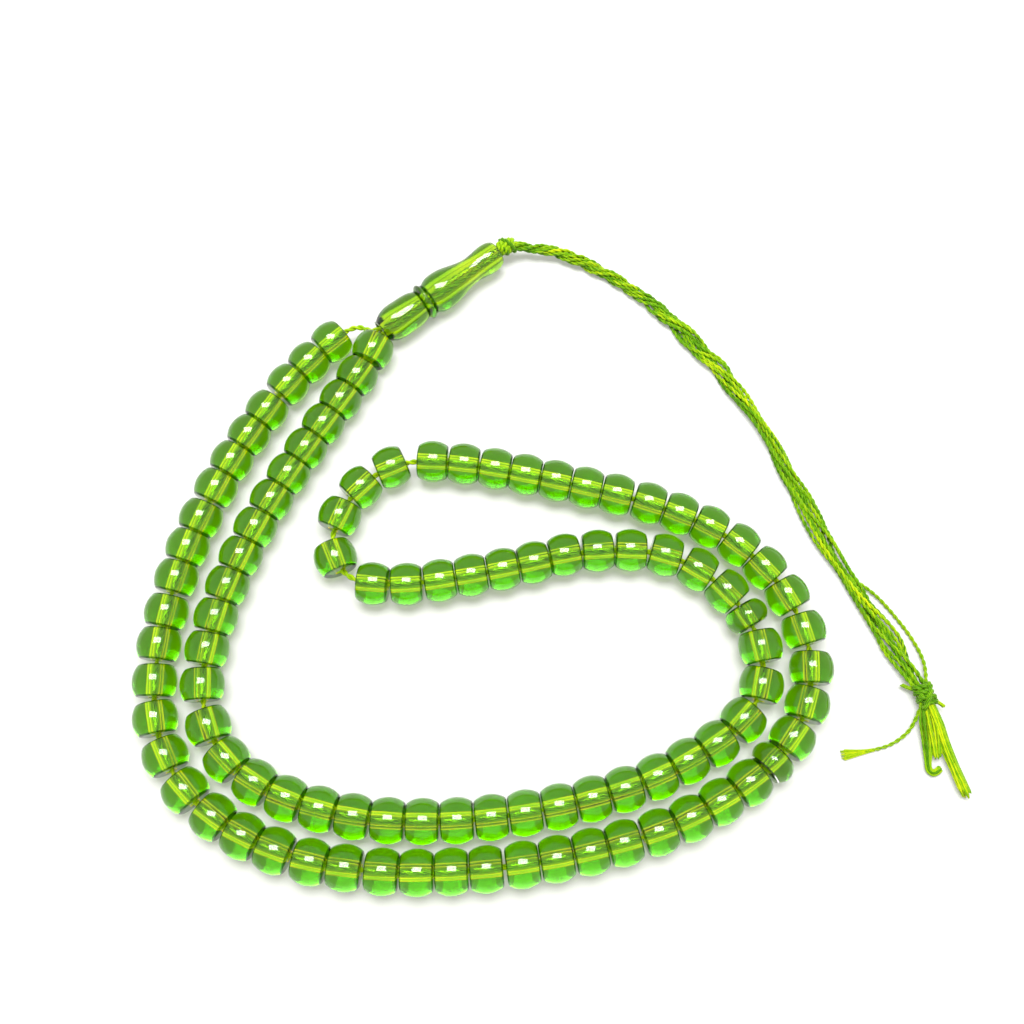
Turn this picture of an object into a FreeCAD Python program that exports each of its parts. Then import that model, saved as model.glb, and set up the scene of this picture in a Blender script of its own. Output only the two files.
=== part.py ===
import FreeCAD, Part
import math
import os

Vector = FreeCAD.Vector

# A misbaha laid out on a table, in millimetres. Z is up, the table is z = 0, and the origin lies on the
# table in the middle of the laid-out beads.

# Beads: glass balls with both ends cut flat, three equal runs of them with a marker bead between runs.
run_count = 3
beads_in_run = 33
bead_diameter = 8.0
bead_length = 5.7
bead_face_diameter = 5.5
bead_rim_rounding = 0.3
marker_diameter = 7.9
marker_length = 4.4
marker_face_diameter = 4.8
marker_rim_rounding = 0.5
bore_clearance = 0.9

# Strand cord: one length, from the leader's knot through every bead and back.
strand_diameter = 1.0
pass_gap = 0.1
pass_bow = 0.07

# Leader: three turned glass pieces on the doubled cord.
leader_mouth = (-20.7, 41.8)
leader_angle = 37.5
leader_bore_clearance = 0.2
leader_piece_gap = 0.12
leader_rim_rounding = 0.3
barrel_length = 9.7
barrel_diameter = 7.1
barrel_mouth_diameter = 4.0
barrel_end_diameter = 5.8
barrel_mouth_slope = 1.0
barrel_end_slope = -0.5
disc_diameter = 7.4
disc_thickness = 1.6
vase_length = 17.1
vase_diameter = 7.8
vase_base_diameter = 5.8
vase_waist_diameter = 5.2
vase_flare_diameter = 6.0
vase_end_diameter = 4.6
vase_base_slope = 0.9
vase_end_slope = -0.8

# Knots: thread wrapped round the cords, each wrap a rounded ridge.
leader_knot_length = 4.1
leader_knot_diameter = 3.5
leader_knot_wraps = 4
leader_knot_turn = -22.0
tail_knot_length = 4.6
tail_knot_diameter = 4.4
tail_knot_wraps = 3
wrap_depth = 0.25

# Tail: a loose bundle of silk threads from knot to knot, and the thread ends past the last knot.
tail_diameter = 3.2
loose_thread_diameter = 0.7
thin_end_diameter = 0.8
middle_end_diameter = 1.8
thick_end_diameter = 2.4

# The strand's loop on the table, as the corners of its route for beads of the size below. Larger
# beads spread the same route out.
route_bead_diameter = 8.0
route_bead_length = 5.7
strand_route = [
    (-25.9, 43.3), (-31.5, 38.6), (-39.6, 29.3), (-49.2, 13.6), (-56.0, -4.0), (-59.0, -20.5),
    (-58.6, -33.8), (-53.4, -44.6), (-43.6, -52.3), (-31.0, -57.3), (-15.5, -59.2), (1.5, -58.6),
    (18.2, -55.9), (34.1, -51.4), (47.8, -43.6), (56.6, -34.6), (59.5, -22.6), (55.6, -10.1),
    (45.7, 0.4), (31.5, 6.6), (14.0, 10.9), (-3.0, 14.4), (-16.5, 15.2), (-25.4, 8.6),
    (-29.3, -1.2), (-25.2, -8.6), (-14.0, -9.2), (3.5, -6.2), (19.5, -2.3), (33.5, -2.7),
    (44.2, -9.1), (50.4, -19.3), (49.6, -29.8), (42.6, -36.8), (29.0, -44.2), (12.5, -48.6),
    (-5.0, -50.8), (-21.5, -50.4), (-36.5, -46.4), (-47.2, -39.2), (-51.0, -27.2), (-48.6, -12.8),
    (-42.6, 3.0), (-34.2, 17.6), (-27.7, 27.8), (-23.9, 34.3), (-21.9, 38.2),
]

# Where the cord shows between beads: the spare length after each place on the strand, counted from the
# leader with the markers included.
slack_after = {
    3: 0.5, 7: 0.4, 10: 0.5, 12: 0.5, 13: 0.3, 14: 0.4, 15: 0.5, 16: 0.5, 19: 0.3, 21: 0.4, 25: 0.3,
    29: 0.3, 37: 0.4, 38: 0.4, 44: 0.2, 51: 1.0, 52: 0.1, 54: 0.3, 55: 0.3, 88: 0.8,
}
bare_cord = 7.7
mouth_slack = 1.25

# The tail's route from knot to knot, and those of the thread ends, as (x, y, z) corners on the same lay.
tail_knot_place = (79.2, -28.8)
tail_route = [
    (11.4, 61.3, 2.8), (20.8, 58.0, 1.6), (30.6, 51.6, 1.6), (39.6, 43.0, 1.6), (47.8, 32.6, 1.6),
    (54.6, 21.4, 1.6), (60.0, 9.0, 1.6), (65.6, -3.6, 1.6), (71.6, -14.0, 1.6), (76.4, -22.6, 1.6),
]
loose_thread_route = [
    (67.4, -6.8, 1.2), (71.6, -9.0, 0.8), (76.0, -14.2, 0.4), (79.4, -19.6, 0.5), (80.6, -24.6, 1.2),
]
thin_end_route = [(77.6, -33.6, 1.0), (74.4, -36.9, 0.5), (69.6, -38.6, 0.4), (63.8, -39.3, 0.4)]
middle_end_route = [(79.0, -33.2, 1.6), (79.4, -38.0, 1.1), (79.1, -43.0, 0.9)]
thick_end_route = [(80.8, -32.8, 1.9), (81.9, -37.0, 1.5), (83.4, -41.6, 1.3), (85.2, -46.8, 1.2)]

# Groups of neighbouring beads: how many share a node, from the leader round the strand. Markers and
# the beads of the tightest bend have a node each.
group_sizes = (
    [2] * 10 + [3] * 3 + [2] * 2 + [1] + [2] * 4 + [3] * 3 + [1] * 6 + [3] * 2 + [2] * 2 + [1]
    + [2] * 3 + [3] * 2 + [2] * 9 + [3]
)

# Shares of a length at which a shape changes: a cord's arcs take their share of the shorter run, the
# cord's corners in the leader start just outside its mouth, and the others are widest, narrow or round there.
arc_share = 0.45
pass_shares = (-0.045, 0.14, 0.4, 0.7)
barrel_widest_share = 0.58
vase_widest_share = 0.2
vase_waist_share = 0.62
vase_flare_share = 0.86
knot_roundness = 0.8

# How near two places have to be to count as one.
tolerance = 1e-6

# How often a bead's place, and the gap between all beads, are worked out again.
turn_rounds = 3
fill_rounds = 6

lay_scale = max(bead_diameter / route_bead_diameter, bead_length / route_bead_length)
bead_radius = bead_diameter / 2
bead_bore = strand_diameter + bore_clearance
pass_offset = (strand_diameter + pass_gap) / 2
leader_bore = 2 * (pass_offset + pass_bow) + strand_diameter + leader_bore_clearance
leader_height = max(vase_diameter, barrel_diameter, disc_diameter) / 2
leader_length = barrel_length + disc_thickness + vase_length + 2 * leader_piece_gap


class Run:
    """A straight stretch of a cord's centre line."""

    def __init__(self, start, end):
        self.start = start
        self.end = end
        self.length = (end - start).Length
        self.direction = (end - start).normalize()

    def point(self, distance):
        return self.start + self.direction * distance

    def edge(self):
        return Part.LineSegment(self.start, self.end).toShape()


class Bend:
    """An arc that leaves one run and joins the next, tangent to both."""

    def __init__(self, corner, arriving, leaving, set_back):
        self.turn = arriving.getAngle(leaving)
        self.radius = set_back / math.tan(self.turn / 2)
        self.length = self.radius * self.turn
        self.start = corner - arriving * set_back
        self.end = corner + leaving * set_back
        self.along = arriving
        self.inward = (leaving - arriving * arriving.dot(leaving)).normalize()

    def point(self, distance):
        angle = distance / self.radius
        sideways = self.inward * (self.radius * (1 - math.cos(angle)))
        return self.start + self.along * (self.radius * math.sin(angle)) + sideways

    def edge(self):
        return Part.Arc(self.start, self.point(self.length / 2), self.end).toShape()


class Route:
    """A cord's centre line: straight runs between the given corners, joined by tangent arcs."""

    def __init__(self, corners):
        self.stretches = []
        reached = corners[0]
        for before, corner, after in zip(corners, corners[1:], corners[2:]):
            shorter = min((corner - before).Length, (after - corner).Length)
            arriving = (corner - before).normalize()
            leaving = (after - corner).normalize()
            bend = Bend(corner, arriving, leaving, arc_share * shorter)
            self.stretches += [Run(reached, bend.start), bend]
            reached = bend.end
        self.stretches.append(Run(reached, corners[-1]))
        self.length = sum(stretch.length for stretch in self.stretches)

    def point(self, station):
        for stretch in self.stretches[:-1]:
            if station <= stretch.length:
                return stretch.point(station)
            station -= stretch.length
        return self.stretches[-1].point(station)

    def radii(self):
        return [round(stretch.radius, 1) for stretch in self.stretches if isinstance(stretch, Bend)]

    def tube(self, name, diameter):
        """A round cord along the route, with its bend radii and volume printed."""
        wire = Part.Wire([stretch.edge() for stretch in self.stretches])
        first = self.stretches[0]
        section = Part.Wire(Part.makeCircle(diameter / 2, first.start, first.direction))
        solid = wire.makePipeShell([section], True, False)
        expected = math.pi * diameter**2 / 4 * self.length
        print(name, "length", round(self.length, 1), "volume ratio", round(solid.Volume / expected, 4))
        print(name, "bend radii", self.radii())
        return solid


def turned(outline, bore):
    """A solid turned about the X axis from its outer outline, given as edges, with a bore through it."""
    first = outline[0].Vertexes[0].Point
    last = outline[-1].Vertexes[-1].Point
    inner = bore / 2
    closing = Part.makePolygon([last, Vector(last.x, inner, 0), Vector(first.x, inner, 0), first])
    face = Part.Face(Part.Wire(outline + closing.Edges))
    return face.revolve(Vector(0, 0, 0), Vector(1, 0, 0), 360)


def arc_through(*places):
    """An arc in the turning plane through three (x, radius) places."""
    return Part.Arc(*[Vector(x, radius, 0) for x, radius in places]).toShape()


def curve_through(*places):
    """A smooth curve in the turning plane through (x, radius, slope) places."""
    curve = Part.BSplineCurve()
    curve.interpolate(
        Points=[Vector(x, radius, 0) for x, radius, slope in places],
        Tangents=[Vector(1, slope, 0) for x, radius, slope in places],
        TangentFlags=[True] * len(places),
    )
    return curve.toShape()


def round_rims(solid, rounding, bore):
    """Rounds the solid's two outer end rims."""
    rims = []
    ends = (solid.BoundBox.XMin, solid.BoundBox.XMax)
    for edge in solid.Edges:
        on_end = any(abs(edge.CenterOfMass.x - x) < tolerance for x in ends)
        if on_end and edge.Closed and edge.Curve.Radius > bore / 2 + tolerance:
            rims.append(edge)
    return solid.makeFillet(rounding, rims)


def placed(solid, place, direction):
    """A copy of a solid turned about X, moved so that its origin is at place and its axis along direction."""
    copy = solid.copy()
    copy.Placement = FreeCAD.Placement(place, FreeCAD.Rotation(Vector(1, 0, 0), direction))
    return copy


def make_ball(diameter, length, face_diameter, rounding):
    """A ball with its ends cut flat and its rims rounded, bored for the strand cord."""
    half = length / 2
    face = face_diameter / 2
    side = arc_through((-half, face), (0, diameter / 2), (half, face))
    return round_rims(turned([side], bead_bore), rounding, bead_bore)


def make_barrel():
    places = [
        (0, barrel_mouth_diameter / 2, barrel_mouth_slope),
        (barrel_widest_share * barrel_length, barrel_diameter / 2, 0),
        (barrel_length, barrel_end_diameter / 2, barrel_end_slope),
    ]
    return round_rims(turned([curve_through(*places)], leader_bore), leader_rim_rounding, leader_bore)


def make_disc():
    rim = disc_diameter / 2
    face = rim - disc_thickness / 2
    side = arc_through((0, face), (disc_thickness / 2, rim), (disc_thickness, face))
    return turned([side], leader_bore)


def make_vase():
    places = [
        (0, vase_base_diameter / 2, vase_base_slope),
        (vase_widest_share * vase_length, vase_diameter / 2, 0),
        (vase_waist_share * vase_length, vase_waist_diameter / 2, 0),
        (vase_flare_share * vase_length, vase_flare_diameter / 2, 0),
        (vase_length, vase_end_diameter / 2, vase_end_slope),
    ]
    return round_rims(turned([curve_through(*places)], leader_bore), leader_rim_rounding, leader_bore)


def make_knot(length, diameter, wraps):
    """A barrel of side-by-side thread wraps, the middle ones the widest, closed at both ends."""
    pitch = length / wraps
    core = diameter / 2 - wrap_depth
    outline = []
    valley = [core * math.sqrt(1 - knot_roundness * (2 * i / wraps - 1) ** 2) for i in range(wraps + 1)]
    for i in range(wraps):
        left = -length / 2 + i * pitch
        middle = left + pitch / 2
        crest = (valley[i] + valley[i + 1]) / 2 + wrap_depth
        outline.append(arc_through((left, valley[i]), (middle, crest), (left + pitch, valley[i + 1])))
    return turned(outline, 0)


leader_forward = Vector(math.cos(math.radians(leader_angle)), math.sin(math.radians(leader_angle)), 0)
leader_side = Vector(-leader_forward.y, leader_forward.x, 0)


def spread(x, y, z):
    """A place of the lay, as far from the origin as the beads' size takes it, at its own height."""
    return Vector(x * lay_scale, y * lay_scale, z)


leader_start = spread(*leader_mouth, leader_height)


def on_leader(distance, sideways=0):
    return leader_start + leader_forward * distance + leader_side * sideways


leader_knot_angle = math.radians(leader_angle + leader_knot_turn)
leader_knot_forward = Vector(math.cos(leader_knot_angle), math.sin(leader_knot_angle), 0)
leader_knot_place = on_leader(leader_length + leader_piece_gap + leader_knot_length / 2)


def leader_pass(side):
    """The corners of one pass of the cord through the leader, from the mouth to the knot."""
    corners = []
    for share in pass_shares:
        bow = pass_bow * 4 * share * (1 - share)
        corners.append(on_leader(share * leader_length, side * (pass_offset + bow)))
    corners.append(leader_knot_place + leader_side * (side * pass_offset))
    return corners


def strand_corners():
    loop = [spread(x, y, bead_radius) for x, y in strand_route]
    return leader_pass(1)[::-1] + loop + leader_pass(-1)


strand = Route(strand_corners())
pass_length = leader_length + leader_piece_gap + leader_knot_length / 2


def strand_order():
    """Every piece on the strand from the leader round: its length, its face and whether it's a marker."""
    order = []
    for run in range(run_count):
        if run:
            order.append((marker_length, marker_face_diameter, True))
        order += [(bead_length, bead_face_diameter, False)] * beads_in_run
    return order


def lay(station, length):
    """The centre and axis of a bead whose middle is at the station: the mean place of the cord inside it,
    by Simpson's rule, so that a bent cord stays clear of the bore."""
    back = strand.point(station - length / 2)
    middle = strand.point(station)
    front = strand.point(station + length / 2)
    return (back + middle * 4 + front) * (1 / 6), (front - back).normalize()


def string_beads(gap):
    """Strings every bead, the same gap apart but for the slack, and returns their lays and the last end.
    Where the cord turns, neighbours move apart until their faces' inner edges clear each other."""
    end = pass_length + bare_cord * lay_scale
    face_before = 0
    axis_before = None
    lays = []
    for place, (length, face, marker) in enumerate(strand_order(), 1):
        station = end + length / 2
        if axis_before:
            base = station + gap + slack_after.get(place - 1, 0) * lay_scale
            for _ in range(turn_rounds):
                turn = axis_before.getAngle(lay(station, length)[1])
                station = base + (face_before + face) / 2 * math.tan(turn / 2)
        lays.append(lay(station, length))
        end = station + length / 2
        face_before = face
        axis_before = lays[-1][1]
    return lays, end


def fill_strand():
    """The beads' lays with the gap that makes them fill the cord from its bare stretch to the leader."""
    last_end = strand.length - pass_length - mouth_slack * lay_scale
    gap = 0
    for _ in range(fill_rounds):
        lays, end = string_beads(gap)
        gap += (last_end - end) / (len(lays) - 1)
    print("gap between beads", round(gap, 3))
    return lays


def bead_groups():
    """The beads' nodes, as (name, places on the strand), with beads numbered from the leader."""
    names = []
    beads = 0
    markers = 0
    for length, face, marker in strand_order():
        beads += not marker
        markers += marker
        names.append(f"marker_{markers}" if marker else beads)
    groups = []
    first = 0
    for size in group_sizes:
        places = range(first, first + size)
        if size > 1:
            name = f"beads_{names[first]:02d}_to_{names[first + size - 1]:02d}"
        elif isinstance(names[first], int):
            name = f"bead_{names[first]:02d}"
        else:
            name = names[first]
        groups.append((name, places))
        first += size
    return groups


def make_parts():
    parts = {"strand_cord": strand.tube("strand_cord", strand_diameter)}
    bead = make_ball(bead_diameter, bead_length, bead_face_diameter, bead_rim_rounding)
    marker = make_ball(marker_diameter, marker_length, marker_face_diameter, marker_rim_rounding)
    lays = fill_strand()
    for name, places in bead_groups():
        kind = marker if name.startswith("marker") else bead
        parts[name] = Part.makeCompound([placed(kind, *lays[place]) for place in places])

    disc_start = barrel_length + leader_piece_gap
    vase_start = disc_start + disc_thickness + leader_piece_gap
    parts["leader_barrel"] = placed(make_barrel(), on_leader(0), leader_forward)
    parts["leader_disc"] = placed(make_disc(), on_leader(disc_start), leader_forward)
    parts["leader_vase"] = placed(make_vase(), on_leader(vase_start), leader_forward)

    knot = make_knot(leader_knot_length, leader_knot_diameter, leader_knot_wraps)
    parts["leader_knot"] = placed(knot, leader_knot_place, leader_knot_forward)

    tail_end = spread(*tail_knot_place, tail_knot_diameter / 2)
    tail_corners = [leader_knot_place] + [spread(*corner) for corner in tail_route] + [tail_end]
    parts["tail_cord"] = Route(tail_corners).tube("tail_cord", tail_diameter)
    tail_direction = (tail_end - tail_corners[-2]).normalize()
    tail_direction = Vector(tail_direction.x, tail_direction.y, 0).normalize()
    knot = make_knot(tail_knot_length, tail_knot_diameter, tail_knot_wraps)
    parts["tail_knot"] = placed(knot, tail_end, tail_direction)

    loose = [spread(*corner) for corner in loose_thread_route] + [tail_end]
    parts["tail_loose_thread"] = Route(loose).tube("tail_loose_thread", loose_thread_diameter)
    ends = {
        "tail_end_thin": (thin_end_route, thin_end_diameter),
        "tail_end_middle": (middle_end_route, middle_end_diameter),
        "tail_end_thick": (thick_end_route, thick_end_diameter),
    }
    for name, (route, diameter) in ends.items():
        corners = [tail_end] + [spread(*corner) for corner in route]
        parts[name] = Route(corners).tube(name, diameter)
    return parts


parts = make_parts()
os.makedirs("parts", exist_ok=True)
for name, shape in parts.items():
    shape.exportStep(f"parts/{name}.step")
print(len(parts), "nodes")
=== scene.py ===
import math
import random

import bmesh
import bpy
import numpy as np
from mathutils import Matrix, Vector


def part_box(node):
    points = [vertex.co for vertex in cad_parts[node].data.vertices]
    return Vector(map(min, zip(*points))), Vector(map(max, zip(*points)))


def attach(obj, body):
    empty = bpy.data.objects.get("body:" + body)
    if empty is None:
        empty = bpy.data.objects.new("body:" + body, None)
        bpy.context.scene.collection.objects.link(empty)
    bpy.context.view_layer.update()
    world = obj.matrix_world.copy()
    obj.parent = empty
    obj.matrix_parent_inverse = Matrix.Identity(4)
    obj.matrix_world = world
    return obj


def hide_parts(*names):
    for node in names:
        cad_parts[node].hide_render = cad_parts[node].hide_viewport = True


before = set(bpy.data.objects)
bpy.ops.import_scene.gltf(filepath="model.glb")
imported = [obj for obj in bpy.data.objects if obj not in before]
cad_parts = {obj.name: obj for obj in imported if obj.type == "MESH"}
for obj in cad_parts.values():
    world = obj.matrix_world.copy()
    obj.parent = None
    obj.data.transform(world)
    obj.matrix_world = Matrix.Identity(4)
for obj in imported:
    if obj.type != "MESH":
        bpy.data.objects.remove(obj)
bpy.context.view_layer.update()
bpy.context.scene.view_settings.view_transform = "Standard"
print("frame loaded,", len(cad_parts), "nodes")


# Camera: high over the table, a little on the near side.
cameraView = {
    "place": (0.0050, -0.04924, 0.19266),
    "tiltDegrees": 16.0,
    "lens": 36.91,
    "sensor": 36.0,
}


def makeCamera():
    lens = bpy.data.cameras.new("camera")
    lens.lens = cameraView["lens"]
    lens.sensor_width = cameraView["sensor"]
    lens.clip_start = 0.01
    camera = bpy.data.objects.new("camera", lens)
    camera.location = cameraView["place"]
    camera.rotation_euler = (math.radians(cameraView["tiltDegrees"]), 0, 0)
    bpy.context.scene.collection.objects.link(camera)
    bpy.context.scene.camera = camera


makeCamera()
print("camera placed")


# Material helpers.
def newMaterial(name):
    material = bpy.data.materials.new(name)
    material.use_nodes = True
    return material, material.node_tree


def addNode(tree, kind, inputs=None, **settings):
    node = tree.nodes.new(kind)
    for name, value in settings.items():
        setattr(node, name, value)
    for name, value in (inputs or {}).items():
        node.inputs[name].default_value = value
    return node


def startGroup(name, inputs, outputs):
    group = bpy.data.node_groups.new(name, "ShaderNodeTree")
    for label, kind, value in inputs:
        socket = group.interface.new_socket(label, in_out="INPUT", socket_type=kind)
        if value is not None:
            socket.default_value = value
    for label, kind in outputs:
        group.interface.new_socket(label, in_out="OUTPUT", socket_type=kind)
    return group, group.nodes.new("NodeGroupInput"), group.nodes.new("NodeGroupOutput")


def placeGroup(tree, group, values):
    node = tree.nodes.new("ShaderNodeGroup")
    node.node_tree = group
    for name, value in values.items():
        node.inputs[name].default_value = value
    return node


# Hand-made glass: a slow wave in the surface and a few small bubbles and specks.
def makeGlassFlaws():
    group, given, made = startGroup(
        "glassFlaws",
        [("Vector", "NodeSocketVector", None), ("Wave Scale", "NodeSocketFloat", 300.0),
         ("Speck Scale", "NodeSocketFloat", 900.0), ("Speck Share", "NodeSocketFloat", 0.1)],
        [("Height", "NodeSocketFloat"), ("Specks", "NodeSocketFloat")],
    )
    wave = addNode(group, "ShaderNodeTexNoise", {"Detail": 1.5, "Roughness": 0.4})
    specks = addNode(group, "ShaderNodeTexVoronoi", {"Randomness": 1.0})
    near = addNode(group, "ShaderNodeMapRange", {"From Min": 0.0, "To Min": 1.0, "To Max": 0.0})
    link = group.links.new
    link(given.outputs["Vector"], wave.inputs["Vector"])
    link(given.outputs["Wave Scale"], wave.inputs["Scale"])
    link(given.outputs["Vector"], specks.inputs["Vector"])
    link(given.outputs["Speck Scale"], specks.inputs["Scale"])
    link(specks.outputs["Distance"], near.inputs["Value"])
    link(given.outputs["Speck Share"], near.inputs["From Max"])
    link(wave.outputs["Fac"], made.inputs["Height"])
    link(near.outputs["Result"], made.inputs["Specks"])
    return group


# Silk: fine fibres that run slantwise round a thread, uneven in height, with painted shade: dark in the
# grooves between them, lighter on their tops.
def makeSilkFibres():
    group, given, made = startGroup(
        "silkFibres",
        [("UV", "NodeSocketVector", None), ("Fibres Round", "NodeSocketFloat", 7.0),
         ("Slant", "NodeSocketFloat", 900.0)],
        [("Height", "NodeSocketFloat"), ("Shade", "NodeSocketFloat")],
    )
    split = addNode(group, "ShaderNodeSeparateXYZ")
    along = addNode(group, "ShaderNodeMath", operation="MULTIPLY")
    around = addNode(group, "ShaderNodeMath", operation="MULTIPLY")
    both = addNode(group, "ShaderNodeMath", operation="ADD")
    turn = addNode(group, "ShaderNodeMath", {1: math.tau}, operation="MULTIPLY")
    ridge = addNode(group, "ShaderNodeMath", operation="SINE")
    lift = addNode(group, "ShaderNodeMath", {1: 0.5, 2: 0.5}, operation="MULTIPLY_ADD")
    uneven = addNode(group, "ShaderNodeTexNoise", {"Scale": 1.0, "Detail": 2.0})
    stretch = addNode(group, "ShaderNodeCombineXYZ")
    streak = addNode(group, "ShaderNodeMath", {1: 140.0}, operation="MULTIPLY")
    shade = addNode(group, "ShaderNodeMath", operation="MULTIPLY")
    link = group.links.new
    link(given.outputs["UV"], split.inputs["Vector"])
    link(split.outputs["X"], along.inputs[0])
    link(given.outputs["Slant"], along.inputs[1])
    link(split.outputs["Y"], around.inputs[0])
    link(given.outputs["Fibres Round"], around.inputs[1])
    link(along.outputs[0], both.inputs[0])
    link(around.outputs[0], both.inputs[1])
    link(both.outputs[0], turn.inputs[0])
    link(turn.outputs[0], ridge.inputs[0])
    link(ridge.outputs[0], lift.inputs[0])
    link(split.outputs["X"], streak.inputs[0])
    link(streak.outputs[0], stretch.inputs["X"])
    link(both.outputs[0], stretch.inputs["Y"])
    link(stretch.outputs["Vector"], uneven.inputs["Vector"])
    link(lift.outputs[0], shade.inputs[0])
    link(uneven.outputs["Fac"], shade.inputs[1])
    link(lift.outputs[0], made.inputs["Height"])
    link(shade.outputs[0], made.inputs["Shade"])
    return group


glassFlaws = makeGlassFlaws()
silkFibres = makeSilkFibres()

# Each glass: its tint on the darkest and the palest piece, the dark tint of its rims (painted shade where
# pieces meet), what its depth absorbs, and the colour of the painted glow of its drilled wall.
glassLooks = {
    "beadGlass": {"tint": (0.94, 0.93, 0.12), "pale": (1.0, 1.0, 0.2), "edge": (0.07, 0.14, 0.02),
                  "absorb": (0.78, 0.93, 0.0), "roughness": 0.08, "boreGlow": (4.6, 2.3, 0.0)},
    "markerGlass": {"tint": (0.90, 0.88, 0.10), "pale": (0.96, 0.94, 0.12), "edge": (0.08, 0.16, 0.03),
                    "absorb": (0.78, 0.925, 0.0), "roughness": 0.08, "boreGlow": (2.4, 1.4, 0.0)},
    "leaderGlass": {"tint": (0.95, 0.94, 0.10), "pale": (1.0, 0.98, 0.14), "edge": (0.08, 0.18, 0.03),
                    "absorb": (0.755, 0.905, 0.0), "roughness": 0.07, "boreGlow": (2.6, 1.4, 0.0)},
}
glassSurface = {
    "ior": 1.52,
    "absorbDensity": 950.0,
    "speckRoughness": 0.15,
    "waveStrength": 0.16,
    "waveDepth": 0.00004,
    "flaws": {"Wave Scale": 260.0, "Speck Scale": 700.0, "Speck Share": 0.05},
}


def makeGlass(name, look):
    material, tree = newMaterial(name)
    glass = tree.nodes["Principled BSDF"]
    output = tree.nodes["Material Output"]
    link = tree.links.new
    glass.inputs["Transmission Weight"].default_value = 1.0
    glass.inputs["IOR"].default_value = glassSurface["ior"]
    place = addNode(tree, "ShaderNodeTexCoord")
    flaws = placeGroup(tree, glassFlaws, glassSurface["flaws"])
    link(place.outputs["Object"], flaws.inputs["Vector"])
    shade = addNode(tree, "ShaderNodeAttribute", attribute_name="pieceShade")
    rim = addNode(tree, "ShaderNodeAttribute", attribute_name="rimShadeMask")
    bore = addNode(tree, "ShaderNodeAttribute", attribute_name="boreMask")
    body = addNode(tree, "ShaderNodeMix", data_type="RGBA")
    body.inputs[6].default_value = (*look["tint"], 1)
    body.inputs[7].default_value = (*look["pale"], 1)
    # The rims take a dark tint: painted shade where neighbouring pieces meet.
    colour = addNode(tree, "ShaderNodeMix", data_type="RGBA")
    colour.inputs[7].default_value = (*look["edge"], 1)
    link(shade.outputs["Fac"], body.inputs[0])
    link(body.outputs[2], colour.inputs[6])
    link(rim.outputs["Fac"], colour.inputs[0])
    link(colour.outputs[2], glass.inputs["Base Color"])
    polish = addNode(tree, "ShaderNodeMapRange", {"To Min": look["roughness"],
                                                      "To Max": glassSurface["speckRoughness"]})
    link(flaws.outputs["Specks"], polish.inputs["Value"])
    link(polish.outputs["Result"], glass.inputs["Roughness"])
    relief = addNode(tree, "ShaderNodeBump", {"Strength": glassSurface["waveStrength"],
                                              "Distance": glassSurface["waveDepth"]})
    link(flaws.outputs["Height"], relief.inputs["Height"])
    link(relief.outputs["Normal"], glass.inputs["Normal"])
    # Painted glow: the drilled wall gives off light of its own, most of all where it is seen along its
    # surface.
    slant = addNode(tree, "ShaderNodeLayerWeight", {"Blend": 0.5})
    bend = addNode(tree, "ShaderNodeMath", {1: 3.0}, operation="POWER")
    glowStreaks = addNode(tree, "ShaderNodeMath", operation="MULTIPLY")
    wall = addNode(tree, "ShaderNodeMath", operation="MULTIPLY")
    glow = addNode(tree, "ShaderNodeMix", data_type="RGBA")
    glow.inputs[6].default_value = (0, 0, 0, 1)
    glow.inputs[7].default_value = (*look["boreGlow"], 1)
    link(slant.outputs["Facing"], bend.inputs[0])
    link(bend.outputs[0], glowStreaks.inputs[0])
    link(flaws.outputs["Height"], glowStreaks.inputs[1])
    link(glowStreaks.outputs[0], wall.inputs[0])
    link(bore.outputs["Fac"], wall.inputs[1])
    link(wall.outputs[0], glow.inputs[0])
    link(glow.outputs[2], glass.inputs["Emission Color"])
    glass.inputs["Emission Strength"].default_value = 1.0
    absorb = addNode(tree, "ShaderNodeVolumeAbsorption", {"Density": glassSurface["absorbDensity"]})
    absorb.inputs["Color"].default_value = (*look["absorb"], 1)
    link(absorb.outputs[0], output.inputs["Volume"])
    return material


# Each silk: a painted shade colour, its own middle colour and a painted highlight colour, with the count and
# slant of its fibres and its sheen.
silkLooks = {
    "strandSilk": {"deep": (0.04, 0.17, 0.003), "mid": (0.30, 0.52, 0.003), "lit": (0.66, 0.74, 0.006),
                   "fibres": 6.0, "slant": 500.0, "sheen": 0.25},
    "tailSilk": {"deep": (0.003, 0.075, 0.001), "mid": (0.12, 0.36, 0.001), "lit": (0.66, 0.66, 0.003),
                 "fibres": 7.0, "slant": 600.0, "sheen": 0.35},
    "knotSilk": {"deep": (0.003, 0.06, 0.001), "mid": (0.11, 0.33, 0.002), "lit": (0.45, 0.60, 0.004),
                 "fibres": 7.0, "slant": 600.0, "sheen": 0.3},
}
silkSurface = {
    "roughness": 0.42,
    "specularLevel": 0.35,
    "specularTint": (0.85, 1.0, 0.25),
    "sheenRoughness": 0.4,
    "sheenTint": (0.75, 1.0, 0.15),
    "fibreStrength": 0.6,
    "fibreDepth": 0.00006,
    "fibreShade": 0.75,
    "rampPlaces": (0.12, 0.5, 0.95),
}


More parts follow.
